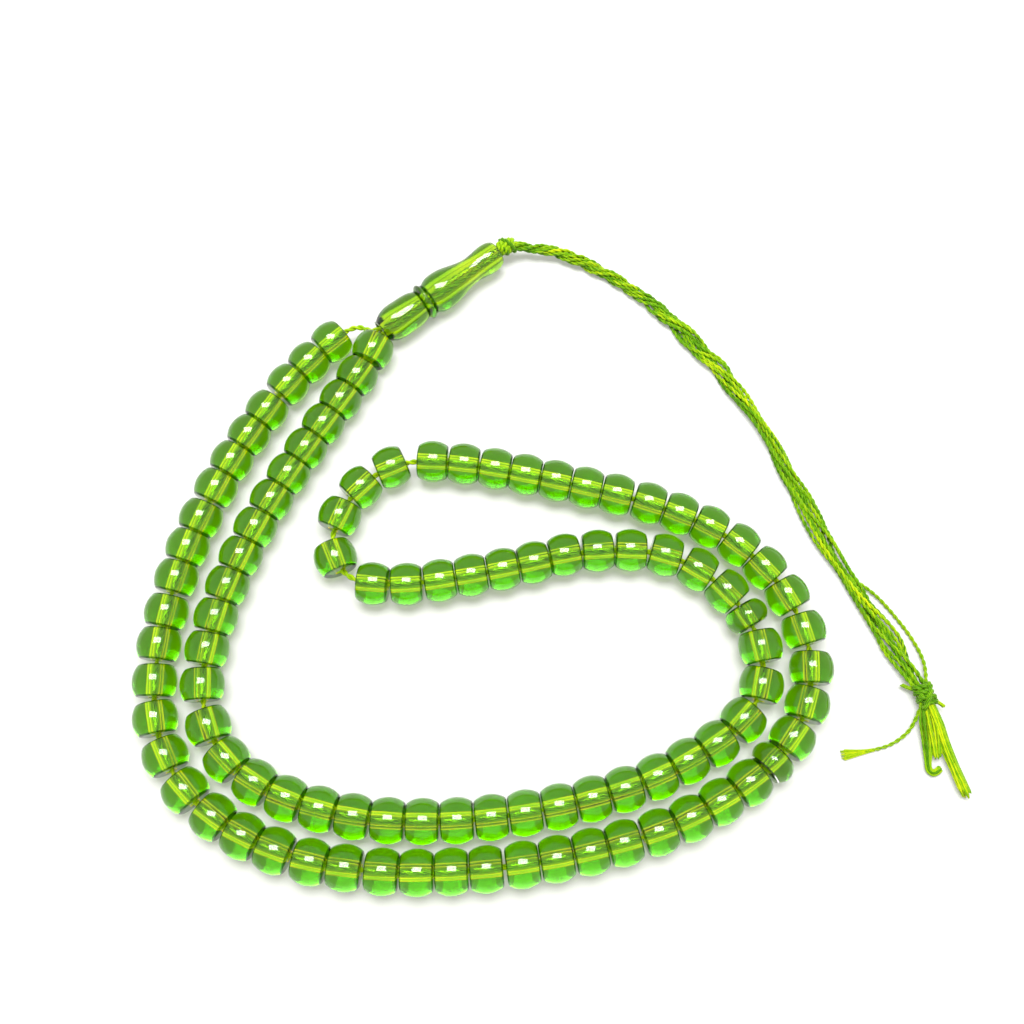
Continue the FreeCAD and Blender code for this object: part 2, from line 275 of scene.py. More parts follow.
def makeSilk(name, look):
    material, tree = newMaterial(name)
    silk = tree.nodes["Principled BSDF"]
    link = tree.links.new
    uv = addNode(tree, "ShaderNodeUVMap", uv_map="threadUV")
    fibres = placeGroup(tree, silkFibres, {"Fibres Round": look["fibres"], "Slant": look["slant"]})
    link(uv.outputs["UV"], fibres.inputs["UV"])
    # The fibres' painted groove shade and the piece's tone pick a colour on a ramp from painted shade through
    # the silk's own colour to a painted highlight.
    shade = addNode(tree, "ShaderNodeAttribute", attribute_name="pieceShade")
    total = addNode(tree, "ShaderNodeMath", {1: silkSurface["fibreShade"]}, operation="MULTIPLY_ADD")
    link(fibres.outputs["Shade"], total.inputs[0])
    link(shade.outputs["Fac"], total.inputs[2])
    ramp = addNode(tree, "ShaderNodeValToRGB")
    deepPlace, midPlace, litPlace = silkSurface["rampPlaces"]
    ramp.color_ramp.elements[0].position = deepPlace
    ramp.color_ramp.elements[0].color = (*look["deep"], 1)
    ramp.color_ramp.elements[1].position = litPlace
    ramp.color_ramp.elements[1].color = (*look["lit"], 1)
    ramp.color_ramp.elements.new(midPlace).color = (*look["mid"], 1)
    link(total.outputs[0], ramp.inputs["Fac"])
    link(ramp.outputs["Color"], silk.inputs["Base Color"])
    relief = addNode(tree, "ShaderNodeBump", {"Strength": silkSurface["fibreStrength"],
                                              "Distance": silkSurface["fibreDepth"]})
    link(fibres.outputs["Height"], relief.inputs["Height"])
    link(relief.outputs["Normal"], silk.inputs["Normal"])
    silk.inputs["Roughness"].default_value = silkSurface["roughness"]
    silk.inputs["Specular IOR Level"].default_value = silkSurface["specularLevel"]
    silk.inputs["Specular Tint"].default_value = (*silkSurface["specularTint"], 1)
    silk.inputs["Sheen Weight"].default_value = look["sheen"]
    silk.inputs["Sheen Roughness"].default_value = silkSurface["sheenRoughness"]
    silk.inputs["Sheen Tint"].default_value = (*silkSurface["sheenTint"], 1)
    return material


materials = {name: makeGlass(name, look) for name, look in glassLooks.items()}
materials.update({name: makeSilk(name, look) for name, look in silkLooks.items()})
print("materials made:", ", ".join(materials))


# Threads: each is a tube along a line of points, and twisted plies are lines wound round another.
routeDetail = 40  # points between two neighbouring corners of a route


def routeLine(corners):
    curve = bpy.data.curves.new("route", "CURVE")
    curve.dimensions = "3D"
    curve.resolution_u = routeDetail
    spline = curve.splines.new("NURBS")
    spline.points.add(len(corners) - 1)
    for point, corner in zip(spline.points, corners):
        point.co = (*corner, 1)
    spline.order_u = 3
    spline.use_endpoint_u = True
    route = bpy.data.objects.new("route", curve)
    mesh = bpy.data.meshes.new_from_object(route)
    line = np.array([vertex.co for vertex in mesh.vertices])
    bpy.data.objects.remove(route)
    bpy.data.meshes.remove(mesh)
    bpy.data.curves.remove(curve)
    return line


def stationsOf(line):
    return np.concatenate([[0], np.cumsum(np.linalg.norm(np.diff(line, axis=0), axis=1))])


def tangentsOf(line):
    tangents = np.gradient(line, axis=0)
    return tangents / np.maximum(np.linalg.norm(tangents, axis=1), 1e-12)[:, None]


def levelSides(line):
    # Sideways and upward directions for a line that lies along the table.
    tangents = tangentsOf(line)
    sides = np.cross(tangents, (0, 0, 1))
    sides /= np.linalg.norm(sides, axis=1)[:, None]
    return sides, np.cross(sides, tangents)


def carriedSides(line):
    # The same for a line of any course: each side is the one before, kept square to the line.
    tangents = tangentsOf(line)
    sides = np.zeros_like(line)
    start = np.array((0.0, 0.0, 1.0)) if abs(tangents[0][2]) < 0.9 else np.array((1.0, 0.0, 0.0))
    side = start
    for i, tangent in enumerate(tangents):
        side = side - tangent * side.dot(tangent)
        side = side / np.linalg.norm(side)
        sides[i] = side
    return sides, np.cross(tangents, sides)


def windPlies(line, offset, pitch, plies=2, phase=0.0):
    sides, lifts = carriedSides(line)
    turns = stationsOf(line) / pitch * math.tau + phase
    lines = []
    for ply in range(plies):
        angle = (turns + ply * math.tau / plies)[:, None]
        lines.append(line + (sides * np.cos(angle) + lifts * np.sin(angle)) * offset)
    return lines


def makeThreads(name, threads, material, facets=6):
    # threads is a list of (line, radius or radii, shade or shades); each becomes a closed tube.
    points, faces, uvs, shades = [], [], [], []
    count = 0
    for line, radius, shade in threads:
        rings = len(line)
        radii = np.broadcast_to(np.asarray(radius, float), (rings,))
        sides, lifts = carriedSides(line)
        stations = stationsOf(line)
        angles = np.arange(facets) * math.tau / facets
        spokes = (np.cos(angles)[None, :, None] * sides[:, None]
                  + np.sin(angles)[None, :, None] * lifts[:, None])
        points.append((line[:, None] + spokes * radii[:, None, None]).reshape(-1, 3))
        shades.append(np.repeat(np.broadcast_to(np.asarray(shade, float), (rings,)), facets))
        for i in range(rings - 1):
            for k in range(facets):
                n = (k + 1) % facets
                a = count + i * facets
                b = a + facets
                faces.append((a + k, a + n, b + n, b + k))
                uvs += [(stations[i], k / facets), (stations[i], (k + 1) / facets),
                        (stations[i + 1], (k + 1) / facets), (stations[i + 1], k / facets)]
        last = count + (rings - 1) * facets
        faces.append(tuple(count + k for k in reversed(range(facets))))
        faces.append(tuple(last + k for k in range(facets)))
        uvs += [(stations[0], k / facets) for k in reversed(range(facets))]
        uvs += [(stations[-1], k / facets) for k in range(facets)]
        count += rings * facets
    mesh = bpy.data.meshes.new(name)
    mesh.from_pydata(np.concatenate(points), [], faces)
    mesh.uv_layers.new(name="threadUV").data.foreach_set("uv", np.array(uvs, np.float32).ravel())
    mesh.attributes.new("pieceShade", "FLOAT", "POINT").data.foreach_set(
        "value", np.concatenate(shades).astype(np.float32))
    mesh.polygons.foreach_set("use_smooth", [True] * len(mesh.polygons))
    mesh.materials.append(material)
    piece = bpy.data.objects.new(name, mesh)
    bpy.context.scene.collection.objects.link(piece)
    return piece


def middleOf(node):
    low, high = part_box(node)
    return (low + high) / 2


# The strand's route: through the leader, round the loop of beads and back through the leader.
strandLook = {"plyRadius": 0.00028, "plyOffset": 0.00027, "pitch": 0.0031, "shades": (0.22, 0.34)}
beadHeight = 0.004
leaderLay = {
    "mouth": (-0.0207, 0.0418, 0.0039),
    "angleDegrees": 37.5,
    "length": 0.02864,
    "passOffset": 0.00055,
    "passBow": 0.00007,
    "passShares": (-0.045, 0.14, 0.4, 0.7),
    "knotDistance": 0.03081,
}
strandLoop = [
    (-0.0259, 0.0433), (-0.0315, 0.0386), (-0.0396, 0.0293), (-0.0492, 0.0136), (-0.0560, -0.0040),
    (-0.0590, -0.0205), (-0.0586, -0.0338), (-0.0534, -0.0446), (-0.0436, -0.0523), (-0.0310, -0.0573),
    (-0.0155, -0.0592), (0.0015, -0.0586), (0.0182, -0.0559), (0.0341, -0.0514), (0.0478, -0.0436),
    (0.0566, -0.0346), (0.0595, -0.0226), (0.0556, -0.0101), (0.0457, 0.0004), (0.0315, 0.0066),
    (0.0140, 0.0109), (-0.0030, 0.0144), (-0.0165, 0.0152), (-0.0254, 0.0086), (-0.0293, -0.0012),
    (-0.0252, -0.0086), (-0.0140, -0.0092), (0.0035, -0.0062), (0.0195, -0.0023), (0.0335, -0.0027),
    (0.0442, -0.0091), (0.0504, -0.0193), (0.0496, -0.0298), (0.0426, -0.0368), (0.0290, -0.0442),
    (0.0125, -0.0486), (-0.0050, -0.0508), (-0.0215, -0.0504), (-0.0365, -0.0464), (-0.0472, -0.0392),
    (-0.0510, -0.0272), (-0.0486, -0.0128), (-0.0426, 0.0030), (-0.0342, 0.0176), (-0.0277, 0.0278),
    (-0.0239, 0.0343), (-0.0219, 0.0382),
]

leaderAngle = math.radians(leaderLay["angleDegrees"])
leaderForward = Vector((math.cos(leaderAngle), math.sin(leaderAngle), 0))
leaderSide = Vector((-leaderForward.y, leaderForward.x, 0))


def onLeader(distance, sideways=0.0):
    return Vector(leaderLay["mouth"]) + leaderForward * distance + leaderSide * sideways


def leaderPass(side):
    corners = []
    for share in leaderLay["passShares"]:
        bow = leaderLay["passBow"] * 4 * share * (1 - share)
        corners.append(onLeader(share * leaderLay["length"], side * (leaderLay["passOffset"] + bow)))
    corners.append(onLeader(leaderLay["knotDistance"], side * leaderLay["passOffset"]))
    return corners


def makeStrand():
    loop = [(x, y, beadHeight) for x, y in strandLoop]
    line = routeLine(leaderPass(1)[::-1] + loop + leaderPass(-1))
    plies = windPlies(line, strandLook["plyOffset"], strandLook["pitch"])
    threads = [(ply, strandLook["plyRadius"], shade) for ply, shade in zip(plies, strandLook["shades"])]
    strand = makeThreads("strand_cord_twisted", threads, materials["strandSilk"])
    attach(strand, "cords")
    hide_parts("strand_cord")


makeStrand()
print("strand cord twisted")


# The tail: twelve two-ply silk threads in three bundles that twist round each other. Its half widths and
# half heights are in millimetres, at shares of its length.
tailLook = {
    "bundles": (5, 4, 3),
    "plyRadius": 0.00021,
    "plyOffset": 0.00018,
    "pitch": 0.0026,
    "halfWidths": ((0, 0.75), (0.07, 0.8), (0.14, 1.05), (0.24, 0.95), (0.35, 1.8), (0.45, 1.55), (0.52, 0.9),
                   (0.65, 1.75), (0.73, 1.8), (0.79, 0.95), (0.86, 1.4), (0.92, 2.0), (1, 0.8)),
    "halfHeights": ((0, 0.75), (0.14, 0.9), (0.24, 0.8), (0.35, 0.6), (0.52, 0.75), (0.7, 0.55), (0.79, 0.75),
                    (0.93, 0.6), (1, 0.8)),
    "twistTurns": ((0, 0), (0.3, 4.1), (0.5, 5.3), (0.8, 6.2), (1, 6.8)),
    "floorHeight": 0.0016,
    "knotHeight": 0.0039,
    "smoothing": 12,
}
tailRoute = [
    (0.0114, 0.0613, 0.0028), (0.0208, 0.0580, 0.0016), (0.0306, 0.0516, 0.0016),
    (0.0396, 0.0430, 0.0016), (0.0478, 0.0326, 0.0016), (0.0546, 0.0214, 0.0016),
    (0.0600, 0.0090, 0.0016), (0.0656, -0.0036, 0.0016), (0.0716, -0.0140, 0.0016),
    (0.0764, -0.0226, 0.0016),
]
looseRoute = [(0.0674, -0.0068, 0.0012), (0.0716, -0.0090, 0.0008), (0.0760, -0.0142, 0.0004),
              (0.0794, -0.0196, 0.0005), (0.0806, -0.0246, 0.0012)]
thinEndRoute = [(0.0776, -0.0336, 0.0010), (0.0744, -0.0369, 0.0005), (0.0696, -0.0386, 0.0004),
                (0.0638, -0.0393, 0.0004)]
middleEndRoute = [(0.0790, -0.0332, 0.0016), (0.0793, -0.0368, 0.0011), (0.0790, -0.0402, 0.0008),
                  (0.0790, -0.0420, 0.0006), (0.0802, -0.0426, 0.0006), (0.0813, -0.0414, 0.0006)]
thickEndRoute = [(0.0808, -0.0328, 0.0019), (0.0819, -0.0370, 0.0015), (0.0834, -0.0416, 0.0013),
                 (0.0852, -0.0468, 0.0012)]
shortEndRoute = [(0.0801, -0.0332, 0.0021), (0.0805, -0.0366, 0.0017), (0.0806, -0.0402, 0.0013)]
leftStubRoute = [(0.0786, -0.0284, 0.0024), (0.0766, -0.0276, 0.0016), (0.0754, -0.0268, 0.0010)]
rightStubRoute = [(0.0798, -0.0292, 0.0026), (0.0814, -0.0302, 0.0026), (0.0826, -0.0312, 0.0022)]
tailKnotPlace = (0.0792, -0.0288, 0.0022)
leaderKnotPlace = tuple(onLeader(leaderLay["knotDistance"]))


def along(shares, table):
    return np.interp(shares, [place for place, value in table], [value for place, value in table])


def smoothed(values, reach):
    window = np.hanning(reach * 2 + 1)
    padded = np.pad(values, reach, mode="edge")
    return np.convolve(padded, window / window.sum(), mode="valid")


def makeTail():
    line = routeLine([leaderKnotPlace] + tailRoute + [tailKnotPlace])
    shares = stationsOf(line) / stationsOf(line)[-1]
    widths = smoothed(along(shares, tailLook["halfWidths"]), tailLook["smoothing"]) / 1000
    heights = smoothed(along(shares, tailLook["halfHeights"]), tailLook["smoothing"]) / 1000
    turns = smoothed(along(shares, tailLook["twistTurns"]), tailLook["smoothing"]) * math.tau
    sides, lifts = levelSides(line)
    reach = tailLook["plyRadius"] + tailLook["plyOffset"]
    drop = np.maximum(tailLook["floorHeight"] - heights - reach, 0)
    fall = tailLook["knotHeight"] - tailLook["floorHeight"]
    laid = np.clip((tailLook["knotHeight"] - line[:, 2]) / fall, 0, 1)
    centre = line - np.outer(drop * laid, (0, 0, 1))
    chance = random.Random(7)
    threads = []
    for bundle, count in enumerate(tailLook["bundles"]):
        # The bundles wind round each other; in each the threads wind more slowly the same way.
        wander = 0.5 * np.sin(shares * math.tau * chance.uniform(2.5, 4.5) + chance.uniform(0, 6))
        around = turns + bundle * math.tau / len(tailLook["bundles"]) + wander
        for i in range(count):
            sway = 0.6 * np.sin(shares * math.tau * chance.uniform(2, 5) + chance.uniform(0, 6))
            own = turns * 0.4 + i * math.tau / count + bundle + sway
            path = centre + sides * (widths * (0.56 * np.cos(around) + 0.48 * np.cos(own)))[:, None]
            path = path + lifts * (heights * (0.56 * np.sin(around) + 0.44 * np.sin(own)))[:, None]
            plies = windPlies(path, tailLook["plyOffset"], tailLook["pitch"] * chance.uniform(0.85, 1.15), 2,
                              chance.uniform(0, math.tau))
            # Each thread has a random tone, plus painted shade: darker where it lies low in the bundle,
            # lighter on top.
            shade = chance.uniform(0.05, 0.36) + 0.07 * np.sin(around) + 0.07 * np.sin(own)
            for ply in plies:
                patches = 0.16 * np.sin(shares * chance.uniform(60, 110) + chance.uniform(0, 6))
                threads.append((ply, tailLook["plyRadius"], shade + patches * chance.uniform(0.4, 1)))
    return makeThreads("tail_threads", threads, materials["tailSilk"], 6), line


looseLook = {"plyRadius": 0.0002, "plyOffset": 0.00017, "pitch": 0.0024, "shade": 0.3}


def makeLooseThread():
    line = routeLine(looseRoute + [tailKnotPlace])
    plies = windPlies(line, looseLook["plyOffset"], looseLook["pitch"])
    threads = [(ply, looseLook["plyRadius"], looseLook["shade"]) for ply in plies]
    return makeThreads("tail_loose_thread_twisted", threads, materials["tailSilk"])


thinEndLook = {
    "plyOffset": 0.00018,
    "pitch": 0.0026,
    "plyRadii": (0.00021, 0.00016),
    "plyShade": 0.32,
    "twistedShare": 0.80,
    "fibreStart": 0.70,
    "frayStart": 0.72,
    "fibres": 28,
    "fibreRadius": 0.00011,
    # The loose fibres' random tones run lighter than the twisted plies': painted light for the light loose
    # fibres catch.
    "fibreShades": (0.38, 0.6),
    "tipHalfWidth": 0.00100,
    "baseHalfWidth": 0.00022,
}


def makeThinEnd():
    # A twisted thread whose last few millimetres have come undone into a flat brush.
    line = routeLine([tailKnotPlace] + thinEndRoute)
    shares = stationsOf(line) / stationsOf(line)[-1]
    sides, lifts = levelSides(line)
    fray = np.clip((shares - thinEndLook["frayStart"]) / (1 - thinEndLook["frayStart"]), 0, 1) ** 1.4
    plies = windPlies(line, thinEndLook["plyOffset"], thinEndLook["pitch"])
    twisted = int(np.argmax(shares > thinEndLook["twistedShare"]))
    radii = np.linspace(*thinEndLook["plyRadii"], twisted)
    threads = [(ply[:twisted], radii, thinEndLook["plyShade"]) for ply in plies]
    chance = random.Random(3)
    start = int(np.argmax(shares > thinEndLook["fibreStart"]))
    for i in range(thinEndLook["fibres"]):
        place = (i + 0.5) / thinEndLook["fibres"] * 2 - 1
        side = place * thinEndLook["tipHalfWidth"] + chance.uniform(-0.00006, 0.00006)
        lift = chance.uniform(-0.00010, 0.00014)
        end = len(line) - chance.randint(0, 5)
        base = place * thinEndLook["baseHalfWidth"]
        path = line + sides * (base + (side - base) * fray)[:, None]
        path = path + lifts * (lift * (0.6 + 0.4 * fray))[:, None]
        shade = chance.uniform(*thinEndLook["fibreShades"])
        threads.append((path[start:end], thinEndLook["fibreRadius"], shade))
    return makeThreads("tail_end_thin_frayed", threads, materials["tailSilk"], 5)


# Loose ends: each is a flat bundle of fibres with a blunt, slightly uneven tip. Half widths and half heights
# are at shares of its length, and stagger is how many points of its line a fibre may end early.
brushLooks = {
    # The thick and short ends' random tones run lighter than the twisted threads': painted light for the
    # light loose fibres catch.
    "thick": {"fibres": 40, "fibreRadius": 0.00022, "shades": (0.22, 0.62), "seed": 11, "stagger": 5,
              "halfWidths": ((0, 0.0007), (0.3, 0.0010), (0.7, 0.0008), (1, 0.00095)),
              "halfHeights": ((0, 0.0008), (0.4, 0.0008), (1, 0.0007))},
    "middle": {"fibres": 26, "fibreRadius": 0.0002, "shades": (0.05, 0.48), "seed": 5, "stagger": 4,
               "halfWidths": ((0, 0.0008), (0.3, 0.0011), (0.55, 0.0009), (0.75, 0.00045), (1, 0.0005)),
               "halfHeights": ((0, 0.0006), (0.6, 0.0005), (0.8, 0.00035), (1, 0.0003))},
    "short": {"fibres": 26, "fibreRadius": 0.0002, "shades": (0.2, 0.6), "seed": 19, "stagger": 8,
              "halfWidths": ((0, 0.0007), (0.5, 0.0010), (1, 0.0008)),
              "halfHeights": ((0, 0.0006), (1, 0.0005))},
    "stub": {"fibres": 7, "fibreRadius": 0.00016, "shades": (0.2, 0.5), "stagger": 6,
             "halfWidths": ((0, 0.0003), (1, 0.00035)), "halfHeights": ((0, 0.0003), (1, 0.00025))},
    "tipTaper": (0.95, 0.85, 0.65, 0.35),
}


def makeBrush(name, line, look, seed):
    chance = random.Random(seed)
    sides, lifts = levelSides(line)
    shares = stationsOf(line) / stationsOf(line)[-1]
    widths = along(shares, look["halfWidths"])
    heights = along(shares, look["halfHeights"])
    threads = []
    for _ in range(look["fibres"]):
        angle = chance.uniform(0, math.tau)
        spread = math.sqrt(chance.uniform(0.05, 1))
        sway = 0.25 * np.sin(shares * chance.uniform(2, 7) + chance.uniform(0, 6))
        path = line + sides * (widths * spread * np.cos(angle + sway))[:, None]
        path = path + lifts * (heights * spread * np.sin(angle + sway))[:, None]
        end = len(line) - chance.randint(0, look["stagger"]) - int(look["stagger"] * 0.8 * spread ** 3)
        radii = np.full(end, look["fibreRadius"])
        radii[-4:] = look["fibreRadius"] * np.array(brushLooks["tipTaper"])
        threads.append((path[:end], radii, chance.uniform(*look["shades"])))
    return makeThreads(name, threads, materials["tailSilk"], 5)


def makeEnd(name, kind, route):
    look = brushLooks[kind]
    return makeBrush(name, routeLine([tailKnotPlace] + route), look, look["seed"])


def makeStub(name, places, seed):
    return makeBrush(name, routeLine(places), brushLooks["stub"], seed)


# Knots: a thread wound tightly round the cords, with a crossing turn on top.
knotLooks = {
    "leader": {"length": 0.0041, "radius": 0.00125, "turns": 4.6, "plyRadius": 0.00030, "plyOffset": 0.00021,
               "tilt": 0.35, "turnDegrees": 15.5},
    "tail": {"length": 0.0040, "radius": 0.00135, "turns": 3.4, "plyRadius": 0.00034, "plyOffset": 0.00022,
             "tilt": 0.55, "turnDegrees": -64.0},
    "pitch": 0.0024,
}


def woundLine(centre, forward, look, bulge, phase, turns, length, lean):
    side = Vector((-forward.y, forward.x, 0))
    count = int(turns * 26)
    points = []
    for i in range(count + 1):
        share = i / count
        angle = share * turns * math.tau + phase
        radius = look["radius"] * (1 - 0.28 * (2 * share - 1) ** 2) + bulge
        distance = (share - 0.5) * length + lean * radius * math.cos(angle)
        points.append(centre + forward * distance + side * (radius * math.cos(angle))
                      + Vector((0, 0, radius * math.sin(angle))))
    return np.array(points)


def makeKnot(name, centre, look, seed):
    chance = random.Random(seed)
    angle = math.radians(look["turnDegrees"])
    forward = Vector((math.cos(angle), math.sin(angle), 0))
    centre = Vector(centre)
    # The main winding, a looser turn that crosses over it and an inner winding, each with its bulge, phase,
    # turns, length and lean.
    thickness, length, turns, tilt = look["plyRadius"], look["length"], look["turns"], look["tilt"]
    courses = (
        (0.0, 0.3, turns, length * 0.82, tilt),
        (thickness * 0.9, 2.1, 1.3, length * 0.5, -tilt * 1.6),
        (-thickness * 1.1, 1.0, turns - 0.5, length * 0.7, -tilt * 0.5),
    )
    windings = [woundLine(centre, forward, look, *course) for course in courses]
    threads = []
    for line in windings:
        line[:, 2] = np.maximum(line[:, 2], look["plyRadius"] * 1.9)
        for ply in windPlies(line, look["plyOffset"], knotLooks["pitch"]):
            threads.append((ply, look["plyRadius"], chance.uniform(0.05, 0.5)))
    return makeThreads(name, threads, materials["knotSilk"], 7)


leaderKnot = makeKnot("leader_knot_wound", leaderKnotPlace, knotLooks["leader"], 2)
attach(leaderKnot, "cords")
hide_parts("leader_knot")

tail, tailLine = makeTail()
tailKnot = makeKnot("tail_knot_wound", tailKnotPlace, knotLooks["tail"], 4)
looseThread = makeLooseThread()
thinEnd = makeThinEnd()
thickEnd = makeEnd("tail_end_thick_bundle", "thick", thickEndRoute)
middleEnd = makeEnd("tail_end_middle_hooked", "middle", middleEndRoute)
shortEnd = makeEnd("tail_end_short", "short", shortEndRoute)
stubLeft = makeStub("tail_stub_left", leftStubRoute, 23)
stubRight = makeStub("tail_stub_right", rightStubRoute, 29)
tailPieces = [
    (tail, "tail_cord", "tail_thread"), (tailKnot, "tail_knot", "knot_thread"),
    (looseThread, "tail_loose_thread", "tail_thread"), (thinEnd, "tail_end_thin", "tail_thread"),
    (thickEnd, "tail_end_thick", "tail_thread"), (middleEnd, "tail_end_middle", "tail_thread"),
    (shortEnd, None, "tail_thread"), (stubLeft, None, "knot_thread"), (stubRight, None, "knot_thread"),
]
for piece, node, slotName in tailPieces:
    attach(piece, "cords")
    if node:
        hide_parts(node)
print("tail and knots made")


# Beads, modelled with the X axis down the bore.
beadSizes = {
    "bead": {"diameter": 0.0079, "length": 0.00572, "faceDiameter": 0.0060, "rim": 0.0003, "bore": 0.0019,
             "facets": 48, "rings": 30},
    "marker": {"diameter": 0.0079, "length": 0.0044, "faceDiameter": 0.0055, "rim": 0.0005, "bore": 0.0019,
               "facets": 48, "rings": 30},
}


def deselectAll():
    bpy.ops.object.select_all(action="DESELECT")


def selectInMesh(piece, kind, wanted):
    # In edit mode: selects the vertices, edges or faces for which wanted says so.
    mesh = bmesh.from_edit_mesh(piece.data)
    for part in list(mesh.faces) + list(mesh.edges) + list(mesh.verts):
        part.select = False
    for part in getattr(mesh, kind):
        if wanted(part):
            part.select_set(True)
    mesh.select_flush_mode()
    bmesh.update_edit_mesh(piece.data)


def offAxis(place):
    return math.hypot(place.y, place.z)


def boreThrough(piece, ends, bore):
    # Narrows both end faces to the bore, takes them away and joins the two rims with the bore's wall.
    bpy.ops.mesh.select_mode(type="FACE")
    for x, face in ends:
        selectInMesh(piece, "faces", lambda f: len(f.verts) > 4 and abs(f.calc_center_median().x - x) < 1e-5)
        bpy.ops.mesh.inset(thickness=face - bore / 2, depth=0, use_even_offset=True)
        bpy.ops.mesh.delete(type="FACE")
    bpy.ops.mesh.select_mode(type="EDGE")
    selectInMesh(piece, "edges", lambda e: e.is_boundary)
    bpy.ops.mesh.bridge_edge_loops()


def finishTurned(piece, ends, rim, bore, material):
    bpy.ops.mesh.select_mode(type="VERT")
    bpy.ops.mesh.select_all(action="SELECT")
    bpy.ops.mesh.remove_doubles(threshold=1e-7)
    bpy.ops.mesh.normals_make_consistent(inside=False)
    bpy.ops.object.mode_set(mode="OBJECT")
    bpy.ops.object.shade_smooth_by_angle(angle=math.radians(40))
    piece.data.materials.append(material)
    # The rim faces are marked for the glass's dark rim tint, painted shade where neighbouring pieces meet.
    rimShadeMask = piece.data.attributes.new("rimShadeMask", "FLOAT", "FACE").data
    boreMask = piece.data.attributes.new("boreMask", "FLOAT", "FACE").data
    for face in piece.data.polygons:
        out = offAxis(face.center)
        boreMask[face.index].value = float(out < bore * 0.52)
        rimShadeMask[face.index].value = float(out > bore * 0.52 and any(
            abs(face.center.x - x) < rim and out < radius + rim for x, radius in ends))


def roundRims(piece, ends, rim):
    bpy.ops.mesh.select_mode(type="EDGE")
    for x, face in ends:
        selectInMesh(piece, "edges", lambda e: all(abs(v.co.x - x) < 1e-6 and offAxis(v.co) > face * 0.98
                                                   for v in e.verts))
        bpy.ops.mesh.bevel(offset=rim, segments=3, affect="EDGES")


def makeBall(name, size, material):
    deselectAll()
    half = size["length"] / 2
    radius = size["diameter"] / 2
    face = size["faceDiameter"] / 2
    bpy.ops.mesh.primitive_uv_sphere_add(segments=size["facets"], ring_count=size["rings"], radius=radius)
    ball = bpy.context.active_object
    ball.name = name
    bpy.ops.object.mode_set(mode="EDIT")
    bpy.ops.transform.rotate(value=math.pi / 2, orient_axis="Y", center_override=(0, 0, 0))
    stretch = half / (radius * math.sqrt(1 - (face / radius) ** 2))
    bpy.ops.transform.resize(value=(stretch, 1, 1), center_override=(0, 0, 0))
    for side in (-1, 1):
        bpy.ops.mesh.select_all(action="SELECT")
        bpy.ops.mesh.bisect(plane_co=(side * half, 0, 0), plane_no=(side, 0, 0), use_fill=True,
                            clear_outer=True, threshold=1e-7)
    ends = [(-half, face), (half, face)]
    roundRims(ball, ends, size["rim"])
    boreThrough(ball, [(x, face - size["rim"]) for x, face in ends], size["bore"])
    finishTurned(ball, ends, size["rim"], size["bore"], material)
    return ball


def trianglesOf(node):
    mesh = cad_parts[node].data
    mesh.calc_loop_triangles()
    points = np.zeros(len(mesh.vertices) * 3, np.float32)
    corners = np.zeros(len(mesh.loop_triangles) * 3, np.int32)
    mesh.vertices.foreach_get("co", points)
    mesh.loop_triangles.foreach_get("vertices", corners)
    return points.reshape(-1, 3).astype(float)[corners.reshape(-1, 3)]


def seatOf(triangles):
    # A turned piece's centre and axis, from its two flat end faces.
    cross = np.cross(triangles[:, 1] - triangles[:, 0], triangles[:, 2] - triangles[:, 0])
    doubled = np.linalg.norm(cross, axis=1)
    normals = cross / np.maximum(doubled, 1e-18)[:, None]
    kinds, which = np.unique(np.round(normals * 200), axis=0, return_inverse=True)
    axis = kinds[np.bincount(which.ravel(), weights=doubled).argmax()]
    axis = axis / np.linalg.norm(axis)
    middles = triangles.mean(axis=1)
    ends = []
    for side in (-1, 1):
        facing = normals @ (axis * side) > 0.9999
        ends.append(np.average(middles[facing], axis=0, weights=doubled[facing]))
        if side == 1:
            axis = np.average(normals[facing], axis=0, weights=doubled[facing])
    return Vector((ends[0] + ends[1]) / 2), Vector(axis).normalized()


def seatsIn(node, count):
    # Sorts a node's triangles to their beads, each to the nearest centre, and seats each bead.
    triangles = trianglesOf(node)
    if count == 1:
        return [seatOf(triangles)]
    middles = triangles.mean(axis=1)
    centred = middles - middles.mean(axis=0)
    main = np.linalg.svd(centred.T @ centred)[0][:, 0]
    reach = centred @ main
    starts = np.linspace(reach.min(), reach.max(), count * 2 + 1)[1::2]
    centres = middles.mean(axis=0) + np.outer(starts, main)
    for _ in range(4):
        nearest = np.linalg.norm(middles[:, None] - centres[None], axis=2).argmin(axis=1)
        centres = np.array([(middles[nearest == i].min(axis=0) + middles[nearest == i].max(axis=0)) / 2
                            for i in range(count)])
    return [seatOf(triangles[nearest == i]) for i in range(count)]


def copyTo(pattern, name, centre, axis, shade, roll=0.0):
    mesh = pattern.data.copy()
    turn = axis.to_track_quat("X", "Z").to_matrix().to_4x4()
    mesh.transform(Matrix.Translation(centre) @ turn @ Matrix.Rotation(roll, 4, "X"))
    values = mesh.attributes.new("pieceShade", "FLOAT", "POINT")
    values.data.foreach_set("value", [shade] * len(mesh.vertices))
    copy = bpy.data.objects.new(name, mesh)
    bpy.context.scene.collection.objects.link(copy)
    return copy


def joinAll(copies, name):
    deselectAll()
    for copy in copies:
        copy.select_set(True)
    bpy.context.view_layer.objects.active = copies[0]
    if len(copies) > 1:
        bpy.ops.object.join()
    copies[0].name = name
    return copies[0]


